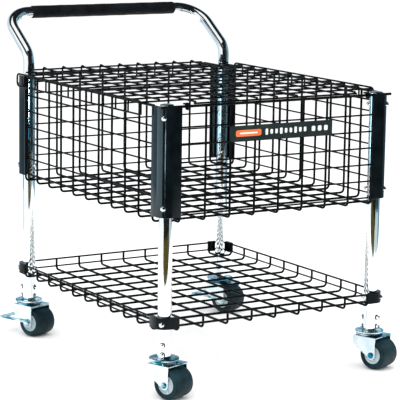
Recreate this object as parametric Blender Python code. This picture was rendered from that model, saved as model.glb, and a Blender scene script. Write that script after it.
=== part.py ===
"""A tennis ball cart: a wire basket with a lid and a tray below it on four chromed tube legs, with a
push handle and four swivel casters.

Metres, +Z up, +X to the right, the name plate's face towards -Y and the push handle towards +Y. The
pieces are placed from the point on the floor midway between the four legs, and the whole is then moved
to put the origin at the bottom centre of its bounding box.
"""

import math

import bmesh
import bpy
from mathutils import Matrix, Vector

# Clearances
GAP = 0.0003  # between pieces that touch
RUN = 0.0005  # between pieces that turn on each other

# Legs
LEG_SPAN_X = 0.515  # between leg axes, side to side
LEG_SPAN_Y = 0.611  # between leg axes, front to rear
LEG_R = 0.0143
LEG_WALL = 0.0015
LEG_RISE = 0.0025  # of a leg's open end above the basket's rim
CAP_DOME = 0.0025
CAP_PLUG = 0.016

# Wire: a wall's wires stand outside the leg axes, and its end wires beside the legs
LEG_TO_WALL = 0.0019  # from a leg's surface out to a wall panel
LEG_TO_END = 0.0047  # from a leg's surface along the wall to its end wire
POST_W = 0.0050  # upright and floor wires
RING_W = 0.0036  # level wires
RIM_W = 0.0060  # top rim of the basket
WIRE_T = 0.0044  # thickness of every panel of the basket and the tray
CELLS_X = 8
CELLS_Y = 10
FLOOR_CELLS_Y = 5  # the floors' cross wires, one for every second post of the side walls

# Heights
WHEEL_TO_LEG = 0.0160  # tyre's top up to the legs' lower ends
TRAY_LIFT = 0.0565  # legs' lower ends to the tray's floor wires
TRAY_DEPTH = 0.0250
TRAY_RING_DROP = 0.0160  # tray rim down to its lower ring
BASKET_LIFT = 0.2230  # tray's floor wires to the basket's floor wires
BASKET_DEPTH = 0.2330
FIRST_RING_DROP = 0.0425  # basket rim down to its first ring
LAST_RING_RISE = 0.0130  # basket's floor up to its last ring
BASKET_RINGS = 6
RIM_PAST_LEG = 0.0250  # how far the front rim runs past the leg axes

# Corner brackets
BRACKET_WALL = 0.0014  # over the end wires
BRACKET_LAP = 0.0015  # past the end wire's centre
BRACKET_OVER_RIM = 0.0004  # an upper bracket's top above the basket rim's centre
BRACKET_OVER_FLOOR = 0.0101  # its bottom above the basket's floor wires
LOW_BRACKET_OVER_RIM = 0.0035  # a lower bracket's top above the tray rim's centre
LOW_BRACKET_OVER_FLOOR = 0.0045  # its bottom above the tray's floor wires
BOLT_R = 0.0022
BOLT_HEAD_R = 0.0048
BOLT_HEAD_H = 0.0030
NUT_R = 0.0044
NUT_H = 0.0035

# Lid
LID_T = 0.0040
LID_WIRE = 0.0034
LID_OVER_X = 0.0300  # lid's side lips outside the leg axes
LID_OVER_Y = 0.0495  # lid's rear lip behind the leg axes
LID_LIP = 0.0270  # depth of the lips below the lid's wires
LID_WIRES_IN = 0.0125  # leg axes in to the outermost wires that run front to rear
LID_WIRES_X = 11
LID_CELLS_Y = 5  # between the full-width wires, one for every second one that a real lid has
LID_TONGUE_IN = 0.0255  # leg axes in to the edge of the part between the rear legs
LID_FRONT_SET = 0.0100  # hinge axis back to the lid's front wire
LID_SIDE_FRONT = 0.0520  # front leg axis back to the side lips' front ends
LID_SIDE_REAR = 0.0380  # rear leg axis forward to the last wire of full width
LID_LIP_REAR = 0.0020  # rear leg axis forward to the side lips' rear ends
EYE_FROM_END_WIRE = 0.0145
EYE_R = 0.0080
EYE_BORE = 0.0050
EYE_W = 0.0060

# Push handle
HANDLE_IN_LEG = 0.0700
HANDLE_BEND_Z = 0.0465  # basket rim up to the corner where the handle leans back
HANDLE_LEAN = math.radians(34)  # of the handle's upper part above level
HANDLE_REACH = 0.1500  # from that corner to the cross bar, along the lean
HANDLE_BEND_R = 0.0400
HANDLE_CORNER_R = 0.0620
HANDLE_SIDES = 12
GRIP_THICK = 0.0023
GRIP_TO_BEND = 0.0055
GRIP_ROUND = 0.0020

# Name plate
PLATE_W = 0.2510
PLATE_H = 0.0315
PLATE_T = 0.0020
PLATE_X = 0.0040  # its centre right of the basket's middle
PLATE_DROP = 0.0615  # basket rim down to its centre

# Casters
CASTER_TURN = math.radians(20)  # rest direction of the trail, from -Y towards +X
WHEEL_R = 0.0330
WHEEL_W = 0.0550
TYRE_BORE = 0.0197
TYRE_SHOULDER = 0.0070
TRAIL = 0.0260
AXLE_R = 0.0040
AXLE_HEAD_R = 0.0068
AXLE_HEAD_H = 0.0040
HUB_INSET = 0.0015
STEM_LEN = 0.0450
HEAD_R = 0.0310
HEAD_T = 0.0040
RACE_R = 0.0295
RACE_T = 0.0050
KING_R = 0.0060
KING_HEAD_R = 0.0090
KING_HEAD_T = 0.0018
FORK_WALL = 0.0025
FORK_SIDE_GAP = 0.0018  # tyre to cheek
FORK_BACK = 0.0180  # swivel axis back to the cheeks' rear edge
FORK_NOSE = 0.0120  # radius of the cheeks round the axle
FORK_SHOULDER_Z = 0.0260  # below the legs' ends, where the rear edge starts to slope
BRAKE_T = 0.0022
BRAKE_EYE_R = 0.0095  # radius of the brake lever round the axle
BRAKE_ARM_LOW = 0.0010  # arm's lower and upper edges, above the axle
BRAKE_ARM_HIGH = 0.0070
PEDAL_BACK = 0.0600  # swivel axis back to the pedal's end
PEDAL_LEN = 0.0180
PEDAL_SIDE = 0.0310  # pedal's half width across the caster

SIDES = 20


def clear_scene():
    for old in list(bpy.data.objects):
        bpy.data.objects.remove(old, do_unlink=True)


def material(name, colour, metallic, roughness):
    made = bpy.data.materials.new(name)
    made.use_nodes = True
    shader = made.node_tree.nodes["Principled BSDF"]
    shader.inputs["Base Color"].default_value = (*colour, 1.0)
    shader.inputs["Metallic"].default_value = metallic
    shader.inputs["Roughness"].default_value = roughness
    made.diffuse_color = (*colour, 1.0)
    return made


def finish(name, bm, finish_material, parent=None, smooth=True):
    """Turns a bmesh into an object, with round faces shaded smooth."""
    bmesh.ops.recalc_face_normals(bm, faces=bm.faces)
    mesh = bpy.data.meshes.new(name)
    bm.to_mesh(mesh)
    bm.free()
    mesh.materials.append(finish_material)
    if smooth:
        mesh.shade_smooth()
        mesh.set_sharp_from_angle(angle=math.radians(35))
    made = bpy.data.objects.new(name, mesh)
    bpy.context.scene.collection.objects.link(made)
    if parent:
        made.parent = parent
    return made


def pivot(name, location, parent=None):
    """An empty on a joint's axis, that the moving pieces hang on."""
    made = bpy.data.objects.new(name, None)
    made.empty_display_size = 0.02
    made.location = location
    bpy.context.scene.collection.objects.link(made)
    if parent:
        made.parent = parent
    return made


def prism(outline, low, high):
    """A closed outline in the XY plane, extruded from low to high along Z."""
    bm = bmesh.new()
    loop = [bm.verts.new((x, y, low)) for x, y in outline]
    face = bm.faces.new(loop)
    grown = bmesh.ops.extrude_face_region(bm, geom=[face])
    raised = [v for v in grown["geom"] if isinstance(v, bmesh.types.BMVert)]
    bmesh.ops.translate(bm, verts=raised, vec=(0, 0, high - low))
    return bm


def turned(profile, sides=SIDES):
    """A closed profile of (radius, z), turned about Z. A radius of 0 is a point on the axis."""
    bm = bmesh.new()
    rings = []
    for radius, z in profile:
        if radius == 0:
            rings.append([bm.verts.new((0, 0, z))] * sides)
            continue
        turns = [2 * math.pi * (k + 0.5) / sides for k in range(sides)]
        rings.append([bm.verts.new((radius * math.cos(t), radius * math.sin(t), z)) for t in turns])
    pairs = zip(rings, rings[1:] + rings[:1])
    for low, high in pairs:
        for k in range(sides):
            corners = [low[k], low[(k + 1) % sides], high[(k + 1) % sides], high[k]]
            corners = list(dict.fromkeys(corners))
            if len(corners) > 2:
                bm.faces.new(corners)
    return bm


def stations(first, last, count):
    """count + 1 evenly spaced places from first to last."""
    return [first + (last - first) * k / count for k in range(count + 1)]


def spans(places, widths):
    """The edges of bars of the given widths at these places, in order."""
    edges = []
    for place, width in zip(places, widths):
        edges += [place - width / 2, place + width / 2]
    return edges


def panel(columns, rows, column_reach, row_reach, thickness):
    """A flat panel of crossing wires in the XY plane, as one solid of even thickness.

    columns and rows are lists of (place, width). column_reach(k) and row_reach(k) give the two ends of
    wire k, measured along the other direction.
    """
    xs = set()
    ys = set()
    xs.update(spans([c[0] for c in columns], [c[1] for c in columns]))
    ys.update(spans([r[0] for r in rows], [r[1] for r in rows]))
    for k in range(len(columns)):
        ys.update(column_reach(k))
    for k in range(len(rows)):
        xs.update(row_reach(k))
    xs = thin_out(sorted(xs))
    ys = thin_out(sorted(ys))

    def filled(x, y):
        for k, (place, width) in enumerate(columns):
            low, high = column_reach(k)
            if abs(x - place) < width / 2 and low < y < high:
                return True
        for k, (place, width) in enumerate(rows):
            low, high = row_reach(k)
            if abs(y - place) < width / 2 and low < x < high:
                return True
        return False

    bm = bmesh.new()
    corner = {}

    def vertex(i, j):
        if (i, j) not in corner:
            corner[i, j] = bm.verts.new((xs[i], ys[j], -thickness / 2))
        return corner[i, j]

    for i in range(len(xs) - 1):
        for j in range(len(ys) - 1):
            if filled((xs[i] + xs[i + 1]) / 2, (ys[j] + ys[j + 1]) / 2):
                bm.faces.new([vertex(i, j), vertex(i + 1, j), vertex(i + 1, j + 1), vertex(i, j + 1)])
    grown = bmesh.ops.extrude_face_region(bm, geom=bm.faces[:])
    raised = [v for v in grown["geom"] if isinstance(v, bmesh.types.BMVert)]
    bmesh.ops.translate(bm, verts=raised, vec=(0, 0, thickness))
    return bm


def thin_out(places, closest=1e-6):
    """Drops places that repeat the one before."""
    kept = places[:1]
    for place in places[1:]:
        if place - kept[-1] > closest:
            kept.append(place)
    return kept


def swept(points, radius, sides):
    """A round bar along a smooth list of points, with flat ends."""
    bm = bmesh.new()
    rings = []
    normal = Vector((1, 0, 0))
    for k, point in enumerate(points):
        ahead = points[min(k + 1, len(points) - 1)] - points[max(k - 1, 0)]
        ahead.normalize()
        normal = normal - ahead * normal.dot(ahead)
        normal.normalize()
        side = ahead.cross(normal)
        ring = []
        for s in range(sides):
            turn = 2 * math.pi * s / sides
            ring.append(bm.verts.new(point + radius * (math.cos(turn) * normal + math.sin(turn) * side)))
        rings.append(ring)
    for low, high in zip(rings, rings[1:]):
        for s in range(sides):
            bm.faces.new([low[s], low[(s + 1) % sides], high[(s + 1) % sides], high[s]])
    bm.faces.new(rings[0][::-1])
    bm.faces.new(rings[-1])
    return bm


def arc(centre, start, end, steps):
    """Points from centre + start round to centre + end, for equal radii."""
    turn = start.angle(end)
    points = []
    for k in range(steps + 1):
        t = k / steps
        points.append(centre + (start * math.sin((1 - t) * turn) + end * math.sin(t * turn)) / math.sin(turn))
    return points


def cut(target, cutter):
    """Cuts one object with another by a Boolean, and drops the cutter."""
    cutter.hide_render = True
    cutter.display_type = "WIRE"
    modifier = target.modifiers.new("cut", "BOOLEAN")
    modifier.operation = "DIFFERENCE"
    modifier.object = cutter
    modifier.solver = "EXACT"


def drill(name, radius, length, matrix):
    """A round cutter of this length, along its own Z, placed by a matrix."""
    bm = turned([(0, -length / 2), (radius, -length / 2), (radius, length / 2), (0, length / 2)], 10)
    bm.transform(matrix)
    cutter = finish(name, bm, MATERIALS["zinc"])
    cutter.hide_render = True
    cutter.display_type = "WIRE"
    return cutter


def join(target, other):
    """Adds one closed shape to another, and drops the other."""
    other.hide_render = True
    other.display_type = "WIRE"
    modifier = target.modifiers.new("join", "BOOLEAN")
    modifier.operation = "UNION"
    modifier.object = other
    modifier.solver = "EXACT"


# Sizes and heights that the pieces share
HANDLE_R = LEG_R - LEG_WALL - GAP
GRIP_R = HANDLE_R + GRIP_THICK
GRIP_HALF = LEG_SPAN_X / 2 - HANDLE_CORNER_R - GRIP_TO_BEND
WALL_OUT = LEG_R + LEG_TO_WALL + WIRE_T / 2  # from a leg's axis out to the wall's wires
END_WIRE = LEG_R + LEG_TO_END + POST_W / 2  # from a leg's axis along the wall to its end wire
CASTER_H = 2 * WHEEL_R + WHEEL_TO_LEG
TRAY_Z = CASTER_H + TRAY_LIFT
TRAY_RIM_Z = TRAY_Z + TRAY_DEPTH
BASKET_Z = TRAY_Z + BASKET_LIFT
RIM_Z = BASKET_Z + BASKET_DEPTH
LEG_TOP = RIM_Z + LEG_RISE
LID_Z = RIM_Z + RIM_W / 2 + GAP + LID_T / 2

BRACKET_OUT = WALL_OUT + WIRE_T / 2 + GAP + BRACKET_WALL
WALL_X = LEG_SPAN_X / 2 + WALL_OUT
WALL_Y = LEG_SPAN_Y / 2 + WALL_OUT
POSTS_X = stations(END_WIRE - LEG_SPAN_X / 2, LEG_SPAN_X / 2 - END_WIRE, CELLS_X)
POSTS_Y = stations(END_WIRE - LEG_SPAN_Y / 2, LEG_SPAN_Y / 2 - END_WIRE, CELLS_Y)

LEGS = {
    "front_left": (-1, -1),
    "front_right": (1, -1),
    "rear_left": (-1, 1),
    "rear_right": (1, 1),
}
MATERIALS = {}


def leg_place(signs, z=0.0):
    return Vector((signs[0] * LEG_SPAN_X / 2, signs[1] * LEG_SPAN_Y / 2, z))


def outward(signs):
    """The level angle from a leg's axis straight out of the cart's corner."""
    return math.atan2(signs[1], signs[0])


def along_corner(signs, z):
    """Places a shape's own Z along a corner's outward direction, at a leg's axis."""
    turn = Matrix.Rotation(outward(signs), 4, "Z") @ Matrix.Rotation(math.radians(90), 4, "Y")
    return Matrix.Translation(leg_place(signs, z)) @ turn


def make_leg(corner, signs):
    inner = LEG_R - LEG_WALL
    bm = turned([(LEG_R, CASTER_H), (LEG_R, LEG_TOP), (inner, LEG_TOP), (inner, CASTER_H)])
    bm.transform(Matrix.Translation(leg_place(signs)))
    leg = finish(corner + "_leg", bm, MATERIALS["chrome"])
    hole = drill(corner + "_leg_hole", BOLT_R + GAP, 3 * LEG_R, along_corner(signs, bolt_height()))
    cut(leg, hole)


def make_cap(corner, signs):
    plug = LEG_R - LEG_WALL - GAP
    seat = LEG_TOP + GAP
    bm = turned(
        [
            (0, LEG_TOP - CAP_PLUG),
            (plug, LEG_TOP - CAP_PLUG),
            (plug, seat),
            (LEG_R, seat),
            (LEG_R * 0.9, seat + CAP_DOME * 0.6),
            (LEG_R * 0.5, seat + CAP_DOME),
            (0, seat + CAP_DOME),
        ],
        16,
    )
    bm.transform(Matrix.Translation(leg_place(signs)))
    finish(corner + "_leg_cap", bm, MATERIALS["chrome"])


def bracket_outline():
    """A corner bracket's section for the leg at the origin whose outward direction is +X +Y.

    It fills the corner outside the tube as far as the end wires, and laps over them.
    """
    tube = LEG_R + GAP
    beside = END_WIRE - POST_W / 2 - GAP
    over = WALL_OUT + WIRE_T / 2 + GAP
    lap = END_WIRE + BRACKET_LAP
    quarter = [math.radians(90) * k / 6 for k in range(7)]
    outside = [(-lap, BRACKET_OUT)]
    outside += [(BRACKET_OUT * math.sin(t), BRACKET_OUT * math.cos(t)) for t in quarter]
    outside += [(BRACKET_OUT, -lap)]
    inside = [(-lap, over), (-beside, over), (-beside, tube)]
    inside += [(tube * math.sin(t), tube * math.cos(t)) for t in quarter]
    inside += [(y, x) for x, y in inside[2::-1]]
    return outside + inside[::-1]


def bolt_height():
    return (TRAY_Z + LOW_BRACKET_OVER_FLOOR + TRAY_RIM_Z + LOW_BRACKET_OVER_RIM) / 2


def make_brackets(corner, signs):
    turn = Matrix.Rotation(outward(signs) - math.radians(45), 4, "Z")
    place = Matrix.Translation(leg_place(signs)) @ turn
    ends = {
        "_upper_bracket": (BASKET_Z + BRACKET_OVER_FLOOR, RIM_Z + BRACKET_OVER_RIM),
        "_lower_bracket": (TRAY_Z + LOW_BRACKET_OVER_FLOOR, TRAY_RIM_Z + LOW_BRACKET_OVER_RIM),
    }
    for name, (low, high) in ends.items():
        bm = prism(bracket_outline(), low, high)
        bm.transform(place)
        bracket = finish(corner + name, bm, MATERIALS["bracket"])
        if name == "_lower_bracket":
            line = along_corner(signs, bolt_height())
            hole = drill(corner + "_bracket_hole", BOLT_R + GAP, 4 * LEG_R, line)
            cut(bracket, hole)
        elif signs[1] < 0:
            cut(bracket, rim_notch(corner))


def rim_notch(corner):
    """A cutter that leaves an upper front bracket room for the rim that runs through its top."""
    reach = LEG_SPAN_X / 2 + 2 * RIM_PAST_LEG
    half = WIRE_T / 2 + GAP
    outline = [(-reach, -half), (reach, -half), (reach, half), (-reach, half)]
    bm = prism(outline, RIM_Z - RIM_W / 2 - GAP, LEG_TOP)
    bm.transform(Matrix.Translation((0, -WALL_Y, 0)))
    return finish(corner + "_rim_notch", bm, MATERIALS["bracket"])


def make_bolt(corner, signs):
    """A lower bracket's bolt, with its nut, through the bracket and the tube."""
    seat = BRACKET_OUT + GAP
    back = -LEG_R - GAP
    profile = [
        (0, back - NUT_H),
        (NUT_R, back - NUT_H),
        (NUT_R, back),
        (BOLT_R, back),
        (BOLT_R, seat),
        (BOLT_HEAD_R, seat),
        (BOLT_HEAD_R * 0.75, seat + BOLT_HEAD_H * 0.75),
        (0, seat + BOLT_HEAD_H),
    ]
    bm = turned(profile, 10)
    bm.transform(along_corner(signs, bolt_height()))
    finish(corner + "_lower_bolt", bm, MATERIALS["chrome"])


def make_floor(name, z):
    """A floor panel: wires both ways, their ends just inside the walls."""
    reach_x = WALL_X - WIRE_T / 2 - GAP
    reach_y = WALL_Y - WIRE_T / 2 - GAP
    columns = [(x, POST_W) for x in POSTS_X]
    rows = [(y, POST_W) for y in stations(POSTS_Y[0], POSTS_Y[-1], FLOOR_CELLS_Y)]
    bm = panel(columns, rows, lambda k: (-reach_y, reach_y), lambda k: (-reach_x, reach_x), WIRE_T)
    bm.transform(Matrix.Translation((0, 0, z)))
    finish(name, bm, MATERIALS["wire"], smooth=False)


def make_walls(name, low, rings, rim_z, rim_width):
    """Four upright panels round a floor. The front rim runs on past the legs."""
    sides = {
        "front": (POSTS_X, Matrix.Translation((0, -WALL_Y, 0))),
        "rear": (POSTS_X, Matrix.Translation((0, WALL_Y, 0))),
        "left": (POSTS_Y, Matrix.Translation((-WALL_X, 0, 0)) @ Matrix.Rotation(math.radians(90), 4, "Z")),
        "right": (POSTS_Y, Matrix.Translation((WALL_X, 0, 0)) @ Matrix.Rotation(math.radians(90), 4, "Z")),
    }
    upright = Matrix.Rotation(math.radians(90), 4, "X")
    for side, (posts, place) in sides.items():
        ends = (posts[0] - POST_W / 2, posts[-1] + POST_W / 2)
        past = LEG_SPAN_X / 2 + RIM_PAST_LEG
        rim_ends = (-past, past) if side == "front" and rim_width == RIM_W else ends
        columns = [(x, POST_W) for x in posts]
        rows = [(z, RING_W) for z in rings] + [(rim_z, rim_width)]
        bm = panel(
            columns,
            rows,
            lambda k: (low - POST_W / 2, rim_z),
            lambda k: rim_ends if k == len(rings) else ends,
            WIRE_T,
        )
        bm.transform(place @ upright)
        finish(name + "_" + side, bm, MATERIALS["wire"], smooth=False)


def make_basket():
    make_floor("basket_floor", BASKET_Z)
    first = RIM_Z - FIRST_RING_DROP
    last = BASKET_Z + LAST_RING_RISE
    make_walls("basket", BASKET_Z, stations(last, first, BASKET_RINGS - 1), RIM_Z, RIM_W)


def make_tray():
    make_floor("tray_floor", TRAY_Z)
    make_walls("tray", TRAY_Z, [TRAY_RIM_Z - TRAY_RING_DROP], TRAY_RIM_Z, RING_W)


def make_lid(hinge):
    """The lid's top panel and its three lips, set out from the hinge axis at the front rim."""
    side = LEG_SPAN_X / 2 + LID_OVER_X
    front = LID_FRONT_SET
    rear = 2 * WALL_Y - WALL_OUT + LID_OVER_Y
    wide_front = WALL_OUT + LID_SIDE_FRONT
    lip_rear = WALL_OUT + LEG_SPAN_Y - LID_LIP_REAR
    wide_rear = WALL_OUT + LEG_SPAN_Y - LID_SIDE_REAR
    level = LID_Z - RIM_Z
    inner_side = side - LID_T / 2 - GAP
    inner_rear = rear - LID_T / 2 - GAP

    half = LEG_SPAN_X / 2 - LID_WIRES_IN
    across = stations(-half, half, LID_WIRES_X - 1)
    tongue = (LID_TONGUE_IN - LEG_SPAN_X / 2, LEG_SPAN_X / 2 - LID_TONGUE_IN)
    columns = [(x, LID_WIRE) for x in (*across, *tongue)]
    wide = stations(wide_front, wide_rear, LID_CELLS_Y)
    rows = [(y, LID_WIRE) for y in (front, *wide, (wide_rear + inner_rear) / 2)]
    middle = tongue[1] + LID_WIRE / 2

    def column_reach(k):
        if k >= len(across):
            return (wide_rear - LID_WIRE / 2, inner_rear)
        if 0 < k < len(across) - 1:
            return (front - LID_WIRE / 2, inner_rear)
        return (wide_front - LID_WIRE / 2, wide_rear + LID_WIRE / 2)

    def row_reach(k):
        if k == 0:
            return (across[1] - LID_WIRE / 2, across[-2] + LID_WIRE / 2)
        if k <= len(wide):
            return (-inner_side, inner_side)
        return (-middle, middle)

    bm = panel(columns, rows, column_reach, row_reach, LID_T)
    bm.transform(Matrix.Translation((0, 0, level)))
    finish("lid_top", bm, MATERIALS["wire"], hinge, smooth=False)

    top = level
    low = level - LID_LIP
    upright = Matrix.Rotation(math.radians(90), 4, "X")
    posts = [(y, LID_WIRE) for y in wide]
    posts += [(lip_rear, LID_WIRE)]
    rails = [(low, LID_WIRE), (top, LID_WIRE)]
    ends = (wide_front - LID_WIRE / 2, lip_rear + LID_WIRE / 2)
    for name, x in (("lid_left_lip", -side), ("lid_right_lip", side)):
        bm = panel(posts, rails, lambda k: (low, top), lambda k: ends, LID_T)
        turn = Matrix.Rotation(math.radians(90), 4, "Z")
        bm.transform(Matrix.Translation((x, 0, 0)) @ turn @ upright)
        finish(name, bm, MATERIALS["wire"], hinge, smooth=False)
    rear_ends = (-middle, middle)
    back_posts = [(x, LID_WIRE) for x in (tongue[0], *across[1:-1], tongue[1])]
    bm = panel(back_posts, rails, lambda k: (low, top), lambda k: rear_ends, LID_T)
    bm.transform(Matrix.Translation((0, rear, 0)) @ upright)
    finish("lid_rear_lip", bm, MATERIALS["wire"], hinge, smooth=False)

    for name, x in (("lid_left_hinge_eye", POSTS_X[0]), ("lid_right_hinge_eye", POSTS_X[-1])):
        inward = -EYE_FROM_END_WIRE if x > 0 else EYE_FROM_END_WIRE
        half = EYE_W / 2
        ring = turned([(EYE_R, -half), (EYE_R, half), (EYE_BORE, half), (EYE_BORE, -half)], 16)
        ring.transform(Matrix.Translation((x + inward, 0, 0)) @ Matrix.Rotation(math.radians(90), 4, "Y"))
        finish(name, ring, MATERIALS["wire"], hinge)


def handle_path():
    """The centre line of the push handle, from inside one rear leg to inside the other."""
    x = LEG_SPAN_X / 2
    y = LEG_SPAN_Y / 2
    bend = Vector((x, y, RIM_Z + HANDLE_BEND_Z))
    up = Vector((0, 0, 1))
    lean = Vector((0, math.cos(HANDLE_LEAN), math.sin(HANDLE_LEAN)))
    across = Vector((1, 0, 0))
    half_turn = up.angle(lean) / 2
    tangent = HANDLE_BEND_R * math.tan(half_turn)
    inward = (lean - up * up.dot(lean)).normalized()
    centre = bend - up * tangent + inward * HANDLE_BEND_R
    right = [Vector((x, y, LEG_TOP - HANDLE_IN_LEG)), Vector((x, y, LEG_TOP))]
    first = -inward * HANDLE_BEND_R
    last = bend + lean * tangent - centre
    right += arc(centre, first, last, 4)
    corner = bend + lean * HANDLE_REACH
    centre = corner - lean * HANDLE_CORNER_R - across * HANDLE_CORNER_R
    right += arc(centre, across * HANDLE_CORNER_R, lean * HANDLE_CORNER_R, 6)
    left = [Vector((-p.x, p.y, p.z)) for p in reversed(right)]
    return right + left


def make_handle():
    finish("push_handle", swept(handle_path(), HANDLE_R, HANDLE_SIDES), MATERIALS["chrome"])
    bore = HANDLE_R / math.cos(math.pi / HANDLE_SIDES) + GAP
    profile = [
        (bore, -GRIP_HALF),
        (GRIP_R - GRIP_ROUND / 2, -GRIP_HALF),
        (GRIP_R, -GRIP_HALF + GRIP_ROUND),
        (GRIP_R, GRIP_HALF - GRIP_ROUND),
        (GRIP_R - GRIP_ROUND / 2, GRIP_HALF),
        (bore, GRIP_HALF),
    ]
    bm = turned(profile, HANDLE_SIDES)
    bend = Vector((0, LEG_SPAN_Y / 2, RIM_Z + HANDLE_BEND_Z))
    bar = bend + HANDLE_REACH * Vector((0, math.cos(HANDLE_LEAN), math.sin(HANDLE_LEAN)))
    bm.transform(Matrix.Translation(bar) @ Matrix.Rotation(math.radians(90), 4, "Y"))
    finish("handle_grip", bm, MATERIALS["foam"])


def make_name_plate():
    bm = bmesh.new()
    bmesh.ops.create_cube(bm, size=1.0)
    bmesh.ops.scale(bm, verts=bm.verts, vec=(PLATE_W, PLATE_T, PLATE_H))
    upright = [e for e in bm.edges if abs(e.verts[0].co.y - e.verts[1].co.y) > PLATE_T / 2]
    bmesh.ops.bevel(bm, geom=upright, offset=0.002, segments=2, affect="EDGES")
    y = -WALL_Y - WIRE_T / 2 - GAP - PLATE_T / 2
    bm.transform(Matrix.Translation((PLATE_X, y, RIM_Z - PLATE_DROP)))
    finish("name_plate", bm, MATERIALS["plate"], smooth=False)


# A caster's own frame: the swivel axis is Z, the wheel trails towards +X, and its axle runs along Y.
AXLE_Z = WHEEL_R
CHEEK_IN = WHEEL_W / 2 + FORK_SIDE_GAP
RACE_TOP = CASTER_H - GAP - HEAD_T - RUN
YOKE_TOP = RACE_TOP - RACE_T


def make_caster_head(corner, swivel):
    """Stem, upper plate and kingpin: the part of a caster that stays with the leg."""
    stem = LEG_R - LEG_WALL - GAP
    top = CASTER_H - GAP
    king_top = YOKE_TOP - FORK_WALL - RUN
    profile = [
        (0, CASTER_H + STEM_LEN),
        (stem, CASTER_H + STEM_LEN),
        (stem, top),
        (HEAD_R, top),
        (HEAD_R, top - HEAD_T),
        (KING_R, top - HEAD_T),
        (KING_R, king_top),
        (KING_HEAD_R, king_top),
        (KING_HEAD_R, king_top - KING_HEAD_T),
        (0, king_top - KING_HEAD_T),
    ]
    finish(corner + "_caster_head", turned(profile), MATERIALS["zinc"], swivel)


def cheek_outline():
    """A fork cheek seen from the side, as (trail, height)."""
    top = YOKE_TOP
    front = TRAIL + FORK_NOSE
    nose = [math.radians(a) for a in (0, -30, -60, -90, -120, -150)]
    points = [(-FORK_BACK, top), (front, top)]
    points += [(TRAIL + FORK_NOSE * math.cos(a), AXLE_Z + FORK_NOSE * math.sin(a)) for a in nose]
    points += [(-FORK_BACK, CASTER_H - FORK_SHOULDER_Z)]
    return points


def make_fork(corner, swivel):
    """Lower race, yoke plate and the two cheeks that carry the axle."""
    half = CHEEK_IN + FORK_WALL
    front = TRAIL + FORK_NOSE
    plate_low = YOKE_TOP - FORK_WALL
    arch = prism(cheek_outline(), -half, half)
    arch.transform(Matrix.Rotation(math.radians(90), 4, "X"))
    fork = finish(corner + "_caster_fork", arch, MATERIALS["zinc"], swivel)
    inside = prism(
        [
            (-FORK_BACK - FORK_WALL, -FORK_WALL),
            (front + FORK_WALL, -FORK_WALL),
            (front + FORK_WALL, plate_low),
            (-FORK_BACK - FORK_WALL, plate_low),
        ],
        -CHEEK_IN,
        CHEEK_IN,
    )
    inside.transform(Matrix.Rotation(math.radians(90), 4, "X"))
    cut(fork, finish(corner + "_fork_inside", inside, MATERIALS["zinc"], swivel))
    race_low = YOKE_TOP - FORK_WALL / 2
    race = turned([(0, race_low), (RACE_R, race_low), (RACE_R, RACE_TOP), (0, RACE_TOP)])
    join(fork, finish(corner + "_fork_race", race, MATERIALS["zinc"], swivel))
    king_place = Matrix.Translation((0, 0, YOKE_TOP))
    king = drill(corner + "_king_hole", KING_R + RUN, 4 * (RACE_T + FORK_WALL), king_place)
    king.parent = swivel
    cut(fork, king)
    sideways = Matrix.Rotation(math.radians(90), 4, "X")
    axle_place = Matrix.Translation((TRAIL, 0, AXLE_Z)) @ sideways
    axle_hole = drill(corner + "_axle_hole", AXLE_R + GAP, 3 * half, axle_place)
    axle_hole.parent = swivel
    cut(fork, axle_hole)


def make_wheel(corner, swivel):
    """Tyre and hub on a pivot at the axle's centre."""
    spin = pivot(corner + "_wheel_pivot", (TRAIL, 0, AXLE_Z), swivel)
    half = WHEEL_W / 2
    sideways = Matrix.Rotation(math.radians(90), 4, "X")
    shoulder = [math.radians(a) for a in (0, 45, 90)]
    right = [
        (
            WHEEL_R - TYRE_SHOULDER * 0.6 * (1 - math.cos(a)),
            half - TYRE_SHOULDER * (1 - math.sin(a)),
        )
        for a in shoulder
    ]
    profile = [(TYRE_BORE, -half), *[(r, -z) for r, z in reversed(right)], *right, (TYRE_BORE, half)]
    tyre = turned(profile)
    tyre.transform(sideways)
    finish(corner + "_tyre", tyre, MATERIALS["tyre"], spin)
    hub_half = half - HUB_INSET
    rim = TYRE_BORE - GAP
    bore = AXLE_R + RUN
    profile = [(bore, -hub_half), (rim, -hub_half), (rim, hub_half), (bore, hub_half)]
    hub = turned(profile, 16)
    hub.transform(sideways)
    finish(corner + "_wheel_hub", hub, MATERIALS["hub"], spin)


def make_axle(corner, swivel, braked):
    """The axle bolt through the cheeks, and through the brake lever's eye where there is one."""
    far = CHEEK_IN + FORK_WALL + GAP
    near = far + BRAKE_T + GAP if braked else far
    profile = [
        (0, -far - AXLE_HEAD_H),
        (AXLE_HEAD_R, -far - AXLE_HEAD_H),
        (AXLE_HEAD_R, -far),
        (AXLE_R, -far),
        (AXLE_R, near),
        (AXLE_HEAD_R, near),
        (AXLE_HEAD_R * 0.8, near + AXLE_HEAD_H),
        (0, near + AXLE_HEAD_H),
    ]
    axle = turned(profile, 12)
    axle.transform(Matrix.Translation((TRAIL, 0, AXLE_Z)) @ Matrix.Rotation(math.radians(90), 4, "X"))
    finish(corner + "_axle", axle, MATERIALS["zinc"], swivel)


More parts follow.
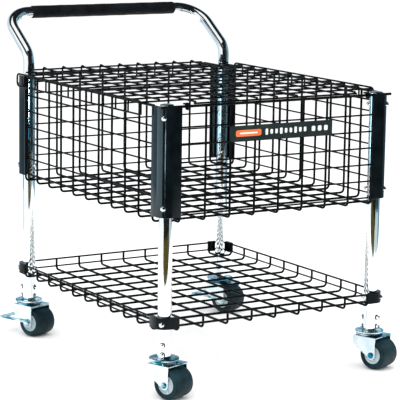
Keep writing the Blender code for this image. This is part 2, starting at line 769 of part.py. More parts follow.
def make_brake(corner, swivel):
    """A foot brake: a lever on the axle outside one cheek, its pedal across the back of the fork."""
    foot = pivot(corner + "_brake_pivot", (TRAIL, 0, AXLE_Z), swivel)
    sideways = Matrix.Rotation(math.radians(90), 4, "X")
    inner = CHEEK_IN + FORK_WALL + GAP
    back = -TRAIL - PEDAL_BACK
    round_front = [math.radians(a) for a in range(-90, 120, 30)]
    outline = [(BRAKE_EYE_R * math.cos(a), BRAKE_EYE_R * math.sin(a)) for a in round_front]
    outline += [(-BRAKE_EYE_R, BRAKE_ARM_HIGH), (back, BRAKE_ARM_HIGH), (back, BRAKE_ARM_LOW)]
    outline += [(-BRAKE_EYE_R, BRAKE_ARM_LOW - 0.001)]
    lever = prism(outline, inner, inner + BRAKE_T)
    lever.transform(sideways)
    lever = finish(corner + "_brake_lever", lever, MATERIALS["zinc"], foot)
    high = BRAKE_ARM_HIGH - BRAKE_T / 2
    low = high - BRAKE_T
    back += BRAKE_T / 2
    corners = [(back, low), (back + PEDAL_LEN, low), (back + PEDAL_LEN, high), (back, high)]
    pedal = prism(corners, -PEDAL_SIDE, inner + BRAKE_T / 2)
    pedal.transform(sideways)
    join(lever, finish(corner + "_pedal", pedal, MATERIALS["zinc"], foot))
    hole = drill(corner + "_lever_hole", AXLE_R + RUN, 4 * inner, sideways)
    hole.parent = foot
    cut(lever, hole)


def make_caster(corner, signs):
    swivel = pivot(corner + "_caster_pivot", leg_place(signs))
    swivel.rotation_euler = (0, 0, CASTER_TURN - math.radians(90))
    make_caster_head(corner, swivel)
    make_fork(corner, swivel)
    make_wheel(corner, swivel)
    make_axle(corner, swivel, signs[1] > 0)
    if signs[1] > 0:
        make_brake(corner, swivel)


def centre_on_box():
    """Hangs everything on one root, moved so that the bounding box's bottom centre is the origin."""
    bpy.context.view_layer.update()
    solid = [o for o in bpy.data.objects if o.type == "MESH" and not o.hide_render]
    graph = bpy.context.evaluated_depsgraph_get()
    corners = []
    for each in solid:
        shape = each.evaluated_get(graph)
        corners += [shape.matrix_world @ v.co for v in shape.data.vertices]
    low = [min(c[k] for c in corners) for k in range(3)]
    high = [max(c[k] for c in corners) for k in range(3)]
    middle = ((low[0] + high[0]) / 2, (low[1] + high[1]) / 2, low[2])
    tops = [o for o in bpy.data.objects if o.parent is None]
    root = pivot("cart", (0, 0, 0))
    for each in tops:
        each.parent = root
    root.location = [-m for m in middle]


def main():
    clear_scene()
    MATERIALS.update(
        chrome=material("chrome", (0.82, 0.86, 0.88), 1.0, 0.08),
        zinc=material("zinc", (0.62, 0.76, 0.80), 1.0, 0.22),
        wire=material("wire", (0.012, 0.013, 0.015), 0.0, 0.35),
        bracket=material("bracket", (0.014, 0.018, 0.021), 0.0, 0.18),
        foam=material("foam", (0.012, 0.013, 0.014), 0.0, 0.75),
        plate=material("plate", (0.035, 0.055, 0.052), 0.0, 0.45),
        tyre=material("tyre", (0.035, 0.070, 0.085), 0.0, 0.55),
        hub=material("hub", (0.55, 0.66, 0.70), 0.0, 0.40),
    )
    for corner, signs in LEGS.items():
        make_leg(corner, signs)
        make_brackets(corner, signs)
        make_bolt(corner, signs)
        make_caster(corner, signs)
        if signs[1] < 0:
            make_cap(corner, signs)
    make_basket()
    make_tray()
    hinge = pivot("lid_pivot", (0, -WALL_Y, RIM_Z))
    make_lid(hinge)
    make_handle()
    make_name_plate()
    centre_on_box()


main()
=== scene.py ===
"""Looks for a tennis ball cart: a wire basket with a hinged wire lid, a wire tray, four chromed tube legs
with a foam-gripped push handle, and four swivel casters. Metres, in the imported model's own frame."""

import math

import bmesh
import bpy
from mathutils import Matrix, Vector


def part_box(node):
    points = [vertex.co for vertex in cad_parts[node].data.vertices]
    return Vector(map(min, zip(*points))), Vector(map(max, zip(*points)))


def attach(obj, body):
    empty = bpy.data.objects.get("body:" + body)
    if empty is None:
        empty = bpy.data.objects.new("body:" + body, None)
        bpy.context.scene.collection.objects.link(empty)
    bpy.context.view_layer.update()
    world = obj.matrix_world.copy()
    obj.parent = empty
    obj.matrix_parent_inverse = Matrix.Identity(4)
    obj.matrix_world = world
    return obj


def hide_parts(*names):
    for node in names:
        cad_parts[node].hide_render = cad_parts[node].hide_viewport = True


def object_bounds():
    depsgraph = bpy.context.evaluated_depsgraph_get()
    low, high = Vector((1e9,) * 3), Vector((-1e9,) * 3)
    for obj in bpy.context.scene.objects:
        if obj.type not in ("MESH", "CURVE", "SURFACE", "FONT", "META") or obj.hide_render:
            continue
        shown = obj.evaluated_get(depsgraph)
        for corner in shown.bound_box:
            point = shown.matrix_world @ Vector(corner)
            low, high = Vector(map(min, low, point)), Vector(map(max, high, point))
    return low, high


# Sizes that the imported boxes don't hold

# Basket and tray
POST_R = 0.0025
POST_W = 0.0050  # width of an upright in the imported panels
RING_R = 0.0018
RIM_R = 0.0029
TRAY_RIM_R = 0.0020
RIM_DROP = 0.003  # from a packed panel's top to its rim's middle
TRAY_RIM_DROP = 0.0018
FLOOR_DROP = 0.0008
WIRE_BEND = 0.0080
WIRE_NEST = 0.3  # share of an upright's radius that each layer of floor wires is off the floor's middle
RING_NEST = 0.9  # share of the two radii between an upright's middle and a ring's
CELLS_X = 8
CELLS_Y = 10
BASKET_RINGS = 6
FIRST_RING_DROP = 0.0425
LAST_RING_RISE = 0.0130
TRAY_RING_DROP = 0.0160
END_WIRE = 0.0215
WALL_OUT = 0.0184
PANEL_HALF = 0.0022
ENDS_SHORT = 0.001

# Lid
LID_R = 0.0020
LID_NEST = 0.8
LID_BAR_HALF = 0.0017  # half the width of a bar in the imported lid
LID_BUMP = 0.0034
LID_CREST_BEND = 0.002
LID_BEND = 0.0060
LIP_BEND = 0.0085
LID_NOTCH = 0.036
LID_OVERLAP = 0.004
LID_PITCH = 0.0490
LID_CELLS_X = 10
LID_CELLS_Y = 10
EYE_R = 0.0056
EYE_WIRE_R = 0.0024

# Legs, brackets and handle
GAP = 0.0003
LEG_R = 0.0143
LEG_BORE = 0.0128
CAP_RISE = 0.17
COVER_T = 0.0014
COVER_OUT = WALL_OUT + PANEL_HALF + GAP + COVER_T
UPPER_BOLT_DROP = 0.0225
UPPER_BOLT_RISE = 0.019
LOWER_BOLT_AT = 0.42  # share of the lower bracket's height
NUTS_AT = (0.0270, 0.0070)  # above the leg's foot
HANDLE_R = 0.0125
HANDLE_BEND_Z = 0.0465
HANDLE_LEAN = math.radians(34)
HANDLE_REACH = 0.1500
HANDLE_BEND_R = 0.0400
HANDLE_CORNER_R = 0.0620
HANDLE_IN_LEG = 0.05
GRIP_EDGE = 0.0035
GRIP_RIPPLE = 0.0002
PLATE_EDGE = 0.0022
PRINT_T = 0.0003

# Casters
WHEEL_R = 0.0330
TRAIL = 0.0260
HEAD_T = 0.004
STEM_R = 0.0122
HEAD_R = 0.0295
HEAD_ROLL = 0.0015
PIN_R = 0.006
PIN_HEAD_R = 0.0085
RACE_GAP = 0.0055
CHEEK_IN = 0.0293
CHEEK_T = 0.0025
CHEEK_OUT = CHEEK_IN + CHEEK_T
NOSE_R = 0.0098
TYRE_HALF = 0.0275
TYRE_BORE = 0.0197
TYRE_CROWN = 0.0014
SHOULDER_DROP = 0.0048
SHOULDER_WIDE = 0.0044
HUB_RIBS = 5
AXLE_R = 0.004
AXLE_HEAD_R = 0.0068
BRAKE_T = 0.0022
PEDAL_T = 0.0020

CORNERS = ("front_left", "front_right", "rear_left", "rear_right")


def node_tree(material):
    material.use_nodes = True
    return material.node_tree, material.node_tree.nodes["Principled BSDF"]


def finish_of(name, colour, second, metallic, rough, bump, tint_scale=30.0, stretch=(1, 1, 1), **sockets):
    """A procedural finish: colour mottled towards a second one, uneven roughness and a fine relief.

    rough is (lowest, highest, noise scale) and bump is (strength, distance, noise scale, kind).
    """
    made = bpy.data.materials.new(name)
    tree, shader = node_tree(made)
    place = tree.nodes.new("ShaderNodeTexCoord")
    scaled = tree.nodes.new("ShaderNodeMapping")
    scaled.inputs["Scale"].default_value = stretch
    tree.links.new(place.outputs["Object"], scaled.inputs["Vector"])

    def noise(scale, detail=5.0):
        made_noise = tree.nodes.new("ShaderNodeTexNoise")
        made_noise.inputs["Scale"].default_value = scale
        made_noise.inputs["Detail"].default_value = detail
        tree.links.new(scaled.outputs["Vector"], made_noise.inputs["Vector"])
        return made_noise.outputs["Fac"]

    ramp = tree.nodes.new("ShaderNodeValToRGB")
    for stop, position, tint in zip(ramp.color_ramp.elements, (0.38, 0.66), (colour, second)):
        stop.position = position
        stop.color = (*tint, 1)
    tree.links.new(noise(tint_scale), ramp.inputs["Fac"])
    tree.links.new(ramp.outputs["Color"], shader.inputs["Base Color"])

    spread = tree.nodes.new("ShaderNodeMapRange")
    lowest, highest, rough_scale = rough
    for socket, value in (("From Min", 0.3), ("From Max", 0.7), ("To Min", lowest), ("To Max", highest)):
        spread.inputs[socket].default_value = value
    tree.links.new(noise(rough_scale), spread.inputs["Value"])
    tree.links.new(spread.outputs["Result"], shader.inputs["Roughness"])

    relief = tree.nodes.new("ShaderNodeBump")
    strength, distance, bump_scale, kind = bump
    relief.inputs["Strength"].default_value = strength
    relief.inputs["Distance"].default_value = distance
    if kind == "cells":
        cells = tree.nodes.new("ShaderNodeTexVoronoi")
        cells.inputs["Scale"].default_value = bump_scale
        tree.links.new(scaled.outputs["Vector"], cells.inputs["Vector"])
        tree.links.new(cells.outputs["Distance"], relief.inputs["Height"])
    else:
        tree.links.new(noise(bump_scale, 3.0), relief.inputs["Height"])
    tree.links.new(relief.outputs["Normal"], shader.inputs["Normal"])

    shader.inputs["Metallic"].default_value = metallic
    for socket, value in sockets.items():
        shader.inputs[socket.replace("_", " ").title().replace("Ior", "IOR")].default_value = value
    made.diffuse_color = (*colour, 1)
    return made


def glow(name, colour, strength):
    """A material that only shines."""
    made = bpy.data.materials.new(name)
    made.use_nodes = True
    tree = made.node_tree
    tree.nodes.clear()
    lamp = tree.nodes.new("ShaderNodeEmission")
    lamp.inputs["Color"].default_value = (*colour, 1)
    lamp.inputs["Strength"].default_value = strength
    out = tree.nodes.new("ShaderNodeOutputMaterial")
    tree.links.new(lamp.outputs["Emission"], out.inputs["Surface"])
    return made


def mesh_of(name, bm):
    """Turns a bmesh into a mesh and frees it."""
    mesh = bpy.data.meshes.new(name)
    bm.to_mesh(mesh)
    bm.free()
    return mesh


def placed(name, data):
    """A new object in the scene."""
    made = bpy.data.objects.new(name, data)
    bpy.context.scene.collection.objects.link(made)
    return made


def piece(name, bm, slot, body, nodes=(), matrix=None, bevel=0.0, smooth=40):
    """Turns a bmesh into a piece that rides on a body and stands for the named CAD nodes."""
    if matrix is not None:
        bm.transform(matrix)
    bmesh.ops.recalc_face_normals(bm, faces=bm.faces)
    mesh = mesh_of(name, bm)
    mesh.materials.append(MATERIALS[slot])
    mesh.shade_smooth()
    mesh.set_sharp_from_angle(angle=math.radians(smooth))
    made = placed(name, mesh)
    if bevel:
        rounding = made.modifiers.new("rounding", "BEVEL")
        rounding.width = bevel
        rounding.segments = 3
        rounding.limit_method = "ANGLE"
        rounding.angle_limit = math.radians(40)
        rounding.harden_normals = True
    if nodes:
        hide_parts(*nodes)
    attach(made, body)
    return made


def full_turn(count):
    """The angles of this many equal steps round a circle."""
    return [2 * math.pi * k / count for k in range(count)]


def add_tube(bm, points, radius, sides=12, closed=False):
    """Adds a round wire along the points, with its ends closed."""
    count = len(points)
    rings = []
    normal = None
    for k, point in enumerate(points):
        before = points[k - 1] if closed or k else points[0]
        after = points[(k + 1) % count] if closed or k < count - 1 else points[-1]
        ahead = (after - before).normalized()
        if normal is None:
            normal = ahead.orthogonal()
        normal = (normal - ahead * normal.dot(ahead)).normalized()
        side = ahead.cross(normal)
        around = [math.cos(t) * normal + math.sin(t) * side for t in full_turn(sides)]
        rings.append([bm.verts.new(point + radius * way) for way in around])
    pairs = list(zip(rings, rings[1:]))
    if closed:
        pairs.append((rings[-1], rings[0]))
    for low, high in pairs:
        for s in range(sides):
            bm.faces.new([low[s], low[(s + 1) % sides], high[(s + 1) % sides], high[s]])
    if not closed:
        bm.faces.new(rings[0][::-1])
        bm.faces.new(rings[-1])


def add_bar(bm, start, end, radius):
    """Adds a straight wire."""
    add_tube(bm, [Vector(start), Vector(end)], radius)


def bent(points, radius, steps=5, closed=False):
    """The same route with each corner rounded to this radius."""
    points = [Vector(p) for p in points]
    count = len(points)
    route = []
    for k, corner in enumerate(points):
        if not closed and k in (0, count - 1):
            route.append(corner)
            continue
        back = (points[k - 1] - corner).normalized()
        ahead = (points[(k + 1) % count] - corner).normalized()
        half = back.angle(ahead) / 2
        reach = radius / math.tan(half)
        centre = corner + (back + ahead).normalized() * (radius / math.sin(half))
        start = corner + back * reach - centre
        end = corner + ahead * reach - centre
        turn = start.angle(end)
        for s in range(steps + 1):
            t = s / steps
            mix = start * math.sin((1 - t) * turn) + end * math.sin(t * turn)
            route.append(centre + mix / math.sin(turn))
    return route


def turned(profile, sides=48):
    """A profile of (radius, z) turned about Z; a radius of 0 closes it on the axis."""
    bm = bmesh.new()
    rings = []
    for radius, z in profile:
        if radius == 0:
            rings.append([bm.verts.new((0, 0, z))] * sides)
        else:
            turns = full_turn(sides)
            rings.append([bm.verts.new((radius * math.cos(t), radius * math.sin(t), z)) for t in turns])
    for low, high in zip(rings, rings[1:] + rings[:1]):
        for k in range(sides):
            corners = [low[k], low[(k + 1) % sides], high[(k + 1) % sides], high[k]]
            corners = list(dict.fromkeys(corners))
            if len(corners) > 2:
                bm.faces.new(corners)
    return bm


def disc(radius, low, high):
    """The profile of a plain round slab or pin."""
    return [(0, low), (radius, low), (radius, high), (0, high)]


def prism(outline, low, high):
    """An outline in X and Y, from one height to another."""
    bm = bmesh.new()
    face = bm.faces.new([bm.verts.new((x, y, low)) for x, y in outline])
    grown = bmesh.ops.extrude_face_region(bm, geom=[face])
    lifted = [v for v in grown["geom"] if isinstance(v, bmesh.types.BMVert)]
    bmesh.ops.translate(bm, verts=lifted, vec=(0, 0, high - low))
    return bm


def merged(*parts):
    """One bmesh from several (bmesh, matrix) pairs."""
    whole = bmesh.new()
    for part, matrix in parts:
        part.transform(matrix)
        scratch = mesh_of("scratch", part)
        whole.from_mesh(scratch)
        bpy.data.meshes.remove(scratch)
    return whole


def corner_arc(radius, centre=(0, 0), start=0.0, end=90.0, steps=8):
    """Points on an arc, angles in degrees."""
    turns = [math.radians(start + (end - start) * k / steps) for k in range(steps + 1)]
    return [(centre[0] + radius * math.cos(t), centre[1] + radius * math.sin(t)) for t in turns]


def stations(first, last, count):
    """Places from first to last, this many equal steps apart."""
    return [first + (last - first) * k / count for k in range(count + 1)]


def middle(node):
    """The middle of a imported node's box."""
    low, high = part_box(node)
    return (Vector(low) + Vector(high)) / 2


# Places taken from the frame

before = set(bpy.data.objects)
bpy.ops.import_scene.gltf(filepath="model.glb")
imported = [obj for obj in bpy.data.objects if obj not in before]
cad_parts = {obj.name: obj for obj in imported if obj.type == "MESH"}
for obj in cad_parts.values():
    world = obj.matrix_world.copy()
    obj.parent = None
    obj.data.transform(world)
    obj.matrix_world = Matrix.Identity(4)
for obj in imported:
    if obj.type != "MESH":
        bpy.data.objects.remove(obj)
cad_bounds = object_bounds()
LEG = {corner: middle(corner + "_leg") for corner in CORNERS}
CENTRE = sum(LEG.values(), Vector()) / 4
LEG_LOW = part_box("front_left_leg")[0][2]
LEG_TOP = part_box("front_left_leg")[1][2]
RIM_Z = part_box("basket_left")[1][2] - RIM_DROP
BASKET_Z = middle("basket_floor").z
TRAY_RIM_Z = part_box("tray_left")[1][2] - TRAY_RIM_DROP
TRAY_Z = middle("tray_floor").z
LID_Z = middle("lid_top").z
FLOOR_Z = cad_bounds[0][2]
UP = Vector((0, 0, 1))
SIDEWAYS = Matrix.Rotation(math.radians(90), 4, "X")
AS_BUILT = Matrix.Identity(4)

# Finishes. Each relief below is (strength, distance, noise scale, kind).

SMOOTH_RELIEF = (0.02, 0.0004, 420, "noise")
GLOSS_RELIEF = (0.03, 0.0005, 200, "noise")
PRINT_RELIEF = (0.03, 0.0003, 300, "noise")

MATERIALS = {
    "chrome": finish_of(
        "chrome", (0.90, 0.94, 0.96), (0.84, 0.90, 0.93), 1.0, (0.03, 0.07, 55), SMOOTH_RELIEF
    ),
    "cap": finish_of(
        "dark_chrome", (0.07, 0.16, 0.20), (0.12, 0.24, 0.29), 1.0, (0.12, 0.22, 80), SMOOTH_RELIEF
    ),
    # Blue zinc plating: a real blue tint, mottled towards near white in streaks that are painted reflections
    # of the studio.
    "zinc": finish_of(
        "blue_zinc_and_painted_streaks", (0.01, 0.20, 0.30), (0.86, 0.97, 1.0), 1.0, (0.12, 0.26, 90),
        (0.10, 0.0005, 200, "noise"), 40.0, (1.0, 1.0, 2.6),
    ),
    "pale_zinc": finish_of(
        "pale_zinc", (0.62, 0.76, 0.84), (0.86, 0.92, 0.97), 1.0, (0.16, 0.30, 90),
        (0.08, 0.0005, 240, "noise"), 34.0,
    ),
    "wire": finish_of(
        "powder_coat", (0.0015, 0.0020, 0.0024), (0.005, 0.006, 0.007), 0.0, (0.26, 0.42, 160),
        (0.16, 0.0004, 900, "noise"), specular_ior_level=0.05,
    ),
    "bracket": finish_of(
        "gloss_black", (0.0015, 0.0025, 0.0032), (0.004, 0.007, 0.009), 0.0, (0.08, 0.17, 70),
        GLOSS_RELIEF, specular_ior_level=0.50,
    ),
    # A shaded copy of the bracket black for the lower brackets: the same plastic with its specular cut,
    # painted shade that keeps it from reflecting the white floor.
    "low_bracket": finish_of(
        "shaded_bracket_black", (0.001, 0.003, 0.004), (0.003, 0.007, 0.009), 0.0, (0.14, 0.24, 70),
        GLOSS_RELIEF, specular_ior_level=0.09,
    ),
    "foam": finish_of(
        "foam", (0.0010, 0.0022, 0.0034), (0.004, 0.007, 0.010), 0.0, (0.45, 0.75, 120),
        (0.5, 0.0008, 900, "cells"), specular_ior_level=0.13, sheen_weight=0.015, sheen_roughness=0.5,
    ),
    "plate": finish_of(
        "plate", (0.010, 0.018, 0.018), (0.018, 0.028, 0.028), 0.0, (0.28, 0.45, 80),
        (0.05, 0.0003, 500, "noise"), specular_ior_level=0.25,
    ),
    "tyre": finish_of(
        "tyre", (0.003, 0.014, 0.018), (0.009, 0.034, 0.044), 0.0, (0.34, 0.6, 70),
        (0.22, 0.0005, 480, "noise"), 26.0, specular_ior_level=0.12,
    ),
    "hub": finish_of(
        "hub", (0.36, 0.47, 0.50), (0.52, 0.62, 0.65), 0.0, (0.30, 0.5, 80), (0.08, 0.0004, 300, "noise")
    ),
    # Dark rings under the bolt heads and nuts: painted shade of the recess round each bolt.
    "dark": finish_of(
        "painted_bolt_shade", (0.002, 0.005, 0.006), (0.01, 0.02, 0.024), 0.3, (0.3, 0.5, 80), PRINT_RELIEF
    ),
}
ORANGE = finish_of("orange_print", (0.80, 0.13, 0.02), (0.92, 0.20, 0.04), 0.0, (0.35, 0.5, 80), PRINT_RELIEF)
PALE = finish_of("pale_print", (0.70, 0.76, 0.72), (0.84, 0.88, 0.86), 0.0, (0.35, 0.5, 80), PRINT_RELIEF)


def make_wire_box(name, rim_z, rim_r, floor_z, rings, layer):
    """A wire box: uprights bent under into the floor, level rings inside them, and a rim.

    layer is 1 where the wires running across lie over the ones running along, and -1 where they lie under.
    WIRE_NEST brings the two layers together, as a press weld does.
    """
    front = middle(name + "_front").y
    rear = middle(name + "_rear").y
    left = middle(name + "_left").x
    right = middle(name + "_right").x
    low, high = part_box(name + "_rear")
    across = stations(low[0] + POST_W / 2, high[0] - POST_W / 2, CELLS_X)
    low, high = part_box(name + "_left")
    along = stations(low[1] + POST_W / 2, high[1] - POST_W / 2, CELLS_Y)
    upper = floor_z + POST_R * WIRE_NEST * layer
    lower = floor_z - POST_R * WIRE_NEST * layer
    bm = bmesh.new()
    for x in across:
        route = [(x, front, rim_z), (x, front, lower), (x, rear, lower), (x, rear, rim_z)]
        add_tube(bm, bent(route, WIRE_BEND), POST_R)
    for y in along:
        route = [(left, y, rim_z), (left, y, upper), (right, y, upper), (right, y, rim_z)]
        add_tube(bm, bent(route, WIRE_BEND), POST_R)

    inset = (POST_R + RING_R) * RING_NEST
    ends_x = (across[0] - POST_R, across[-1] + POST_R)
    ends_y = (along[0] - POST_R, along[-1] + POST_R)
    for z in rings:
        for y in (front + inset, rear - inset):
            add_bar(bm, (ends_x[0], y, z), (ends_x[1], y, z), RING_R)
        for x in (left + inset, right - inset):
            add_bar(bm, (x, ends_y[0], z), (x, ends_y[1], z), RING_R)

    low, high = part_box(name + "_front")
    add_bar(bm, (low[0] + ENDS_SHORT, front, rim_z), (high[0] - ENDS_SHORT, front, rim_z), rim_r)
    add_bar(bm, (ends_x[0], rear, rim_z), (ends_x[1], rear, rim_z), rim_r)
    for x in (left, right):
        add_bar(bm, (x, ends_y[0], rim_z), (x, ends_y[1], rim_z), rim_r)
    nodes = [name + end for end in ("_front", "_rear", "_left", "_right", "_floor")]
    piece(name + "_wirework", bm, "wire", "frame", nodes)


def make_lid():
    """The lid's crossing wires, bent down to its lips at the sides and between the rear legs."""
    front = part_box("lid_top")[0][1] + LID_BAR_HALF
    rear = middle("lid_rear_lip").y
    left = middle("lid_left_lip").x
    right = middle("lid_right_lip").x
    lip_low, lip_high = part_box("lid_left_lip")
    wide_front = lip_low[1] + LID_BAR_HALF
    lip_rear = lip_high[1] - LID_BAR_HALF
    wide_rear = lip_rear - LID_NOTCH
    foot = lip_low[2] + LID_BAR_HALF
    tongue_low, tongue_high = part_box("lid_rear_lip")
    tongue = (tongue_low[0] + LID_BAR_HALF, tongue_high[0] - LID_BAR_HALF)
    half = LID_CELLS_X / 2 * LID_PITCH
    upper = LID_Z + LID_R * LID_NEST
    lower = LID_Z - LID_R * LID_NEST
    bump_start = rear - 0.026
    bump_top = rear - 0.004
    bm = bmesh.new()

    for k, x in enumerate(stations(CENTRE.x - half, CENTRE.x + half, LID_CELLS_X)):
        if k in (0, LID_CELLS_X):
            add_bar(bm, (x, wide_front, upper), (x, wide_rear, upper), LID_R)
        else:
            crest = [(x, bump_start, upper), (x, bump_top, upper + LID_BUMP), (x, rear, upper)]
            add_tube(bm, bent([(x, front, upper), *crest, (x, rear, foot)], LID_CREST_BEND), LID_R)
    for x in tongue:
        add_tube(bm, bent([(x, wide_rear, lower), (x, rear, lower), (x, rear, foot)], LID_BEND), LID_R)
    for y in stations(wide_front, wide_rear, LID_CELLS_Y):
        route = [(left, y, foot), (left, y, lower), (right, y, lower), (right, y, foot)]
        add_tube(bm, bent(route, LID_BEND), LID_R)
    inner = (CENTRE.x - half + LID_PITCH - LID_OVERLAP, CENTRE.x + half - LID_PITCH + LID_OVERLAP)
    add_bar(bm, (inner[0], front, lower), (inner[1], front, lower), LID_R)
    y = (wide_rear + rear) / 2
    add_bar(bm, (tongue[0], y, lower), (tongue[1], y, lower), LID_R)

    loops = [
        [(x, wide_front, LID_Z), (x, wide_front, foot), (x, lip_rear, foot), (x, lip_rear, LID_Z)]
        for x in (left, right)
    ]
    start, end = tongue
    loops.append([(start, rear, LID_Z), (start, rear, foot), (end, rear, foot), (end, rear, LID_Z)])
    for loop in loops:
        add_tube(bm, bent(loop, LIP_BEND, closed=True), LID_R, closed=True)

    for side in ("left", "right"):
        eye = middle(f"lid_{side}_hinge_eye")
        ring = [eye + EYE_R * Vector((0, math.cos(t), math.sin(t))) for t in full_turn(24)]
        add_tube(bm, ring, EYE_WIRE_R, closed=True)
        add_bar(bm, eye + Vector((0, 0, EYE_R)), (eye.x, front + LID_OVERLAP, lower), LID_R)
    lips = ["lid_left_lip", "lid_right_lip", "lid_rear_lip"]
    eyes = ["lid_left_hinge_eye", "lid_right_hinge_eye"]
    piece("lid_wirework", bm, "wire", "lid_body", ["lid_top", *lips, *eyes])


def outward(corner):
    """The direction of a corner's diagonal, as an angle from +X."""
    away = LEG[corner] - CENTRE
    return math.atan2(math.copysign(1, away.y), math.copysign(1, away.x))


def make_leg(corner):
    """A leg tube with softened ends, and a domed cap in a front one."""
    centre = LEG[corner]
    lip = 0.0006
    profile = [(LEG_R - lip, LEG_LOW), (LEG_R, LEG_LOW + lip), (LEG_R, LEG_TOP - lip), (LEG_R - lip, LEG_TOP)]
    profile += [(LEG_BORE + lip / 2, LEG_TOP), (LEG_BORE, LEG_TOP - lip), (LEG_BORE, LEG_LOW)]
    place = Matrix.Translation((centre.x, centre.y, 0))
    piece(corner + "_leg_tube", turned(profile, 64), "chrome", "frame", [corner + "_leg"], place)
    if corner.startswith("front"):
        crown = [(x, LEG_TOP + GAP + y * CAP_RISE) for x, y in corner_arc(LEG_R - 0.0002)]
        crown[-1] = (0, crown[-1][1])
        plug_r = LEG_BORE - 0.0004
        plug_low = LEG_TOP - 0.014
        plug = [(0, plug_low), (plug_r, plug_low), (plug_r, LEG_TOP)]
        piece(corner + "_cap", turned(plug + crown, 48), "cap", "frame", [corner + "_leg_cap"], place)


def make_bracket(corner, name):
    """A moulded corner cover: flat along both walls and round at the corner."""
    node = f"{corner}_{name}_bracket"
    low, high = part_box(node)
    under = COVER_OUT - COVER_T
    lap = END_WIRE + 0.0015
    beside = END_WIRE - 0.0028
    tube = LEG_R + 0.0002
    outside = [(-lap, COVER_OUT - 0.0004), (-lap + 0.0008, COVER_OUT)]
    outside += corner_arc(COVER_OUT, start=90, end=0, steps=16)
    outside += [(y, x) for x, y in outside[1::-1]]
    inside = [(-lap, under), (-beside, under), (-beside, tube)]
    inside += corner_arc(tube, start=90, end=0, steps=12)
    inside += [(y, x) for x, y in inside[2::-1]]
    turn = Matrix.Rotation(outward(corner) - math.radians(45), 4, "Z")
    place = Matrix.Translation((LEG[corner].x, LEG[corner].y, 0)) @ turn
    bm = prism(outside + inside[::-1], low[2], high[2])
    # The lower covers take the shaded copy of the bracket black.
    slot = "bracket" if name == "upper" else "low_bracket"
    piece(f"{corner}_{name}_cover", bm, slot, "frame", [node], place, bevel=0.0007, smooth=30)


def dome(seat, radius, height):
    """The profile of a domed head standing on seat."""
    sunk = seat - 0.002
    low = seat + 0.2 * height
    head = [(0, sunk), (radius, sunk), (radius, low)]
    head += [(x * radius, low + y * 0.8 * height) for x, y in corner_arc(1, steps=7)[1:-1]]
    return head + [(0, seat + height)]


def make_bolts(corner):
    """Domed bolts through the brackets, and nuts with a thread end low on the leg, all on the diagonal."""
    upper_low, upper_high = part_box(corner + "_upper_bracket")
    lower_low, lower_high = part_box(corner + "_lower_bracket")
    on_lower = lower_low[2] + LOWER_BOLT_AT * (lower_high[2] - lower_low[2])
    turn = Matrix.Rotation(outward(corner), 4, "Z") @ Matrix.Rotation(math.radians(90), 4, "Y")
    parts = []
    bolt_shade_rings = []

    def both_ways(z):
        """Places at this height, one facing outwards and one inwards."""
        place = Matrix.Translation((LEG[corner].x, LEG[corner].y, z)) @ turn
        return place, place @ Matrix.Rotation(math.pi, 4, "X")

    # Each bolt sits on a dark ring, painted shade of the recess round it.
    head = dome(COVER_OUT, 0.0054, 0.0050)
    inner_nut = dome(LEG_R, 0.0048, 0.0066)
    shade_disc = disc(0.0064, COVER_OUT, COVER_OUT + 0.0006)
    for z in (upper_high[2] - UPPER_BOLT_DROP, upper_low[2] + UPPER_BOLT_RISE, on_lower):
        place, back = both_ways(z)
        parts += [(turned(head, 32), place), (turned(inner_nut, 32), back)]
        bolt_shade_rings.append((turned(shade_disc, 32), place))

    hexagon = corner_arc(0.0050, start=0, end=300, steps=5)
    thread_r = 0.0026
    thread = [(0, LEG_R), (thread_r, LEG_R), (thread_r, LEG_R + 0.0082), (0, LEG_R + 0.0086)]
    # A dark ring round each nut and back head, painted shade of the recess.
    low_head = dome(LEG_R, 0.0046, 0.0040)
    rim = disc(0.0060, LEG_R - 0.002, LEG_R + 0.0006)
    for rise in NUTS_AT:
        place, back = both_ways(LEG_LOW + rise)
        nut = prism(hexagon, LEG_R - 0.001, LEG_R + 0.0040)
        parts += [(nut, place), (turned(thread, 20), place), (turned(low_head, 32), back)]
        bolt_shade_rings += [(turned(rim, 32), place), (turned(rim, 32), back)]
    piece(corner + "_bolts", merged(*parts), "chrome", "frame", [corner + "_lower_bolt"])
    # The dark rings are painted shade round the bolts.
    piece(corner + "_bolt_shade", merged(*bolt_shade_rings), "dark", "frame")


